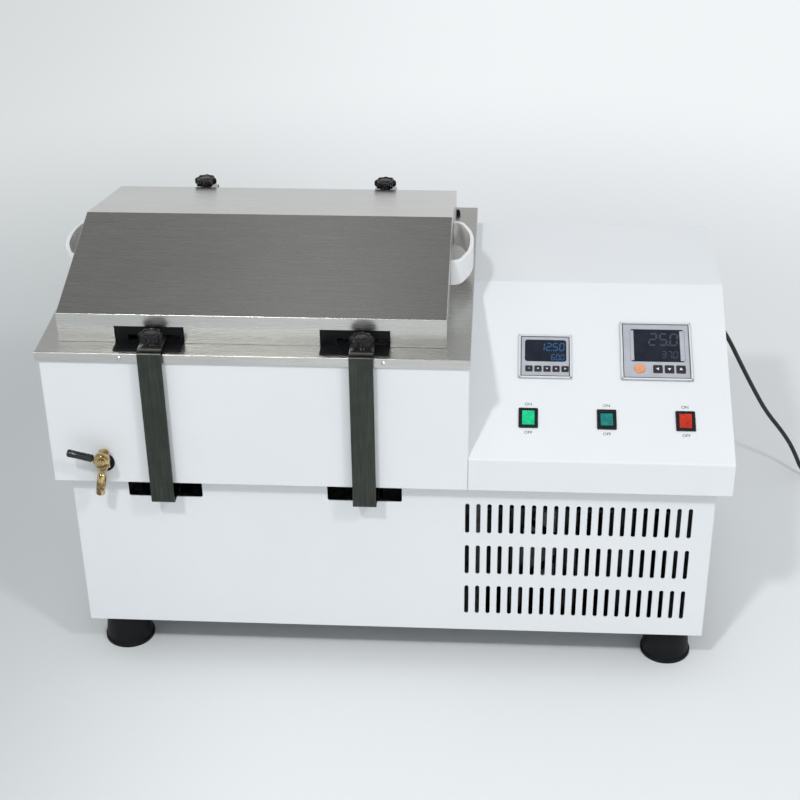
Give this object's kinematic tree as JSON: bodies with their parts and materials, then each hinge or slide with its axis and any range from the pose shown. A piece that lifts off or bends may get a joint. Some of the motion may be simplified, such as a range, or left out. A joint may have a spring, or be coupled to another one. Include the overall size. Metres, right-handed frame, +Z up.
{
  "type": "shaking water bath",
  "caption": "Bench shaking water bath: heated and cooled tank under a lift-off gable lid, shaken tray on side arms, sloping control panel.",
  "frame": {"origin": "on the floor, under the middle of the upper casings", "axes": "+X to the right of someone at the controls, +Y to the back, +Z up"},
  "size_m": [1.2394, 0.5951, 0.5882],
  "materials": {
    "white_paint": "fine powder coat, satin",
    "grey_zinc": "satin",
    "stainless": "brushed",
    "strap_steel": "brushed",
    "bright_steel": "bright",
    "copper_pipe": "satin",
    "black_rubber": "matte",
    "black_plastic": "gloss",
    "cord_jacket": "satin",
    "white_plastic": "gloss",
    "brass_fitting": "satin",
    "lever_sleeve": "satin",
    "foam": "matte",
    "black_paint": "gloss",
    "coil_fins": "satin",
    "meter_grey": "satin",
    "dark_window": "gloss",
    "switch_black": "satin",
    "key_black": "satin",
    "key_orange": "satin",
    "lens_green": "gloss",
    "lens_teal": "gloss",
    "lens_red": "gloss"
  },
  "bodies": {
    "housing": {"base_pan": "grey_zinc", "feet": "black_rubber", "cabinet_shell": "white_paint", "rear_panel": "white_paint", "shelf": "grey_zinc", "bath_casing": "white_paint", "control_housing": "white_paint", "deck": "stainless", "bath_tank": "stainless", "insulation": "foam", "heater": "bright_steel", "cooling_coil": "copper_pipe", "temperature_probe": "bright_steel", "compressor": "black_paint", "condenser": "coil_fins", "fan_motor": "black_paint", "drive_motor": "grey_zinc", "guide_rails": "bright_steel", "tap_body": "brass_fitting", "tap_seal": "black_rubber", "arm_guards": "black_rubber", "deck_screws": "bright_steel", "sensor_gland": "black_rubber", "timer_meter": "meter_grey", "temperature_meter": "meter_grey", "display_windows": "dark_window", "switch_frames": "switch_black", "cord_gland": "black_rubber", "power_cord": "cord_jacket", "cord_coil": "cord_jacket", "power_plug": "cord_jacket"},
    "lid": {"lid": "stainless", "lid_handle_left": "white_plastic", "lid_handle_right": "white_plastic"},
    "platform": {"carriage": "strap_steel", "tray": "stainless", "front_arm_left": "strap_steel", "rear_arm_left": "strap_steel", "front_arm_right": "strap_steel", "rear_arm_right": "strap_steel"},
    "front_knob_left": {"front_knob_left": "black_plastic"},
    "rear_knob_left": {"rear_knob_left": "black_plastic"},
    "front_knob_right": {"front_knob_right": "black_plastic"},
    "rear_knob_right": {"rear_knob_right": "black_plastic"},
    "rod": {"connecting_rod": "bright_steel"},
    "crank": {"crank": "bright_steel"},
    "fan": {"fan_blade": "black_plastic"},
    "tap_handle": {"tap_lever": "lever_sleeve"},
    "rocker_1": {"rocker_1": "lens_green"},
    "rocker_2": {"rocker_2": "lens_teal"},
    "rocker_3": {"rocker_3": "lens_red"},
    "timer_key_1": {"timer_key_1": "key_black"},
    "timer_key_2": {"timer_key_2": "key_black"},
    "timer_key_3": {"timer_key_3": "key_black"},
    "timer_key_4": {"timer_key_4": "key_black"},
    "timer_key_5": {"timer_key_5": "key_black"},
    "temperature_key_1": {"temperature_key_1": "key_black"},
    "temperature_key_2": {"temperature_key_2": "key_black"},
    "temperature_key_3": {"temperature_key_3": "key_black"},
    "menu_key": {"menu_key": "key_orange"}
  },
  "joints": [
    {"name": "lid_lift", "type": "slide", "parent": "housing", "child": "lid", "axis": [0, 0, 1], "range_m": [0, 0.16]},
    {"name": "platform_shake", "type": "slide", "parent": "housing", "child": "platform", "axis": [1, 0, 0], "range_m": [-0.016, 0.0138]},
    {"name": "front_knob_left_turn", "type": "hinge", "parent": "platform", "child": "front_knob_left", "pos_m": [-0.3018, -0.222, 0.5063], "axis": [0, 0, 1], "continuous": true},
    {"name": "rear_knob_left_turn", "type": "hinge", "parent": "platform", "child": "rear_knob_left", "pos_m": [-0.3018, 0.222, 0.5303], "axis": [0, 0, 1], "continuous": true},
    {"name": "front_knob_right_turn", "type": "hinge", "parent": "platform", "child": "front_knob_right", "pos_m": [-0.0328, -0.222, 0.5063], "axis": [0, 0, 1], "continuous": true},
    {"name": "rear_knob_right_turn", "type": "hinge", "parent": "platform", "child": "rear_knob_right", "pos_m": [-0.0328, 0.222, 0.5303], "axis": [0, 0, 1], "continuous": true},
    {"name": "rod_swing", "type": "hinge", "parent": "platform", "child": "rod", "pos_m": [-0.03687, 0, 0.252], "axis": [0, 0, 1], "range_deg": [-17.25, 0]},
    {"name": "crank_turn", "type": "hinge", "parent": "housing", "child": "crank", "pos_m": [0.062, 0, 0.2375], "axis": [0, 0, 1], "continuous": true},
    {"name": "fan_turn", "type": "hinge", "parent": "housing", "child": "fan", "pos_m": [0.25, -0.154, 0.1555], "axis": [0, 1, 0], "continuous": true},
    {"name": "tap_turn", "type": "hinge", "parent": "housing", "child": "tap_handle", "pos_m": [-0.37504, -0.2553, 0.34925], "axis": [0, -1, 0], "range_deg": [0, 90]},
    {"name": "rocker_1_tilt", "type": "hinge", "parent": "housing", "child": "rocker_1", "pos_m": [0.18081, -0.17275, 0.37872], "axis": [1, 0, 0], "range_deg": [-18, 0]},
    {"name": "rocker_2_tilt", "type": "hinge", "parent": "housing", "child": "rocker_2", "pos_m": [0.284, -0.17275, 0.37872], "axis": [1, 0, 0], "range_deg": [0, 18]},
    {"name": "rocker_3_tilt", "type": "hinge", "parent": "housing", "child": "rocker_3", "pos_m": [0.38719, -0.17275, 0.37872], "axis": [1, 0, 0], "range_deg": [-18, 0]},
    {"name": "timer_key_1_press", "type": "slide", "parent": "housing", "child": "timer_key_1", "axis": [0, 0.4258, -0.9048], "range_m": [0, 0.0006], "stiffness_N_per_m": 400, "springref_m": -0.001},
    {"name": "timer_key_2_press", "type": "slide", "parent": "housing", "child": "timer_key_2", "axis": [0, 0.4258, -0.9048], "range_m": [0, 0.0006], "stiffness_N_per_m": 400, "springref_m": -0.001},
    {"name": "timer_key_3_press", "type": "slide", "parent": "housing", "child": "timer_key_3", "axis": [0, 0.4258, -0.9048], "range_m": [0, 0.0006], "stiffness_N_per_m": 400, "springref_m": -0.001},
    {"name": "timer_key_4_press", "type": "slide", "parent": "housing", "child": "timer_key_4", "axis": [0, 0.4258, -0.9048], "range_m": [0, 0.0006], "stiffness_N_per_m": 400, "springref_m": -0.001},
    {"name": "timer_key_5_press", "type": "slide", "parent": "housing", "child": "timer_key_5", "axis": [0, 0.4258, -0.9048], "range_m": [0, 0.0006], "stiffness_N_per_m": 400, "springref_m": -0.001},
    {"name": "temperature_key_1_press", "type": "slide", "parent": "housing", "child": "temperature_key_1", "axis": [0, 0.4258, -0.9048], "range_m": [0, 0.0006], "stiffness_N_per_m": 400, "springref_m": -0.001},
    {"name": "temperature_key_2_press", "type": "slide", "parent": "housing", "child": "temperature_key_2", "axis": [0, 0.4258, -0.9048], "range_m": [0, 0.0006], "stiffness_N_per_m": 400, "springref_m": -0.001},
    {"name": "temperature_key_3_press", "type": "slide", "parent": "housing", "child": "temperature_key_3", "axis": [0, 0.4258, -0.9048], "range_m": [0, 0.0006], "stiffness_N_per_m": 400, "springref_m": -0.001},
    {"name": "menu_key_press", "type": "slide", "parent": "housing", "child": "menu_key", "axis": [0, 0.4258, -0.9048], "range_m": [0, 0.0006], "stiffness_N_per_m": 400, "springref_m": -0.001}
  ]
}
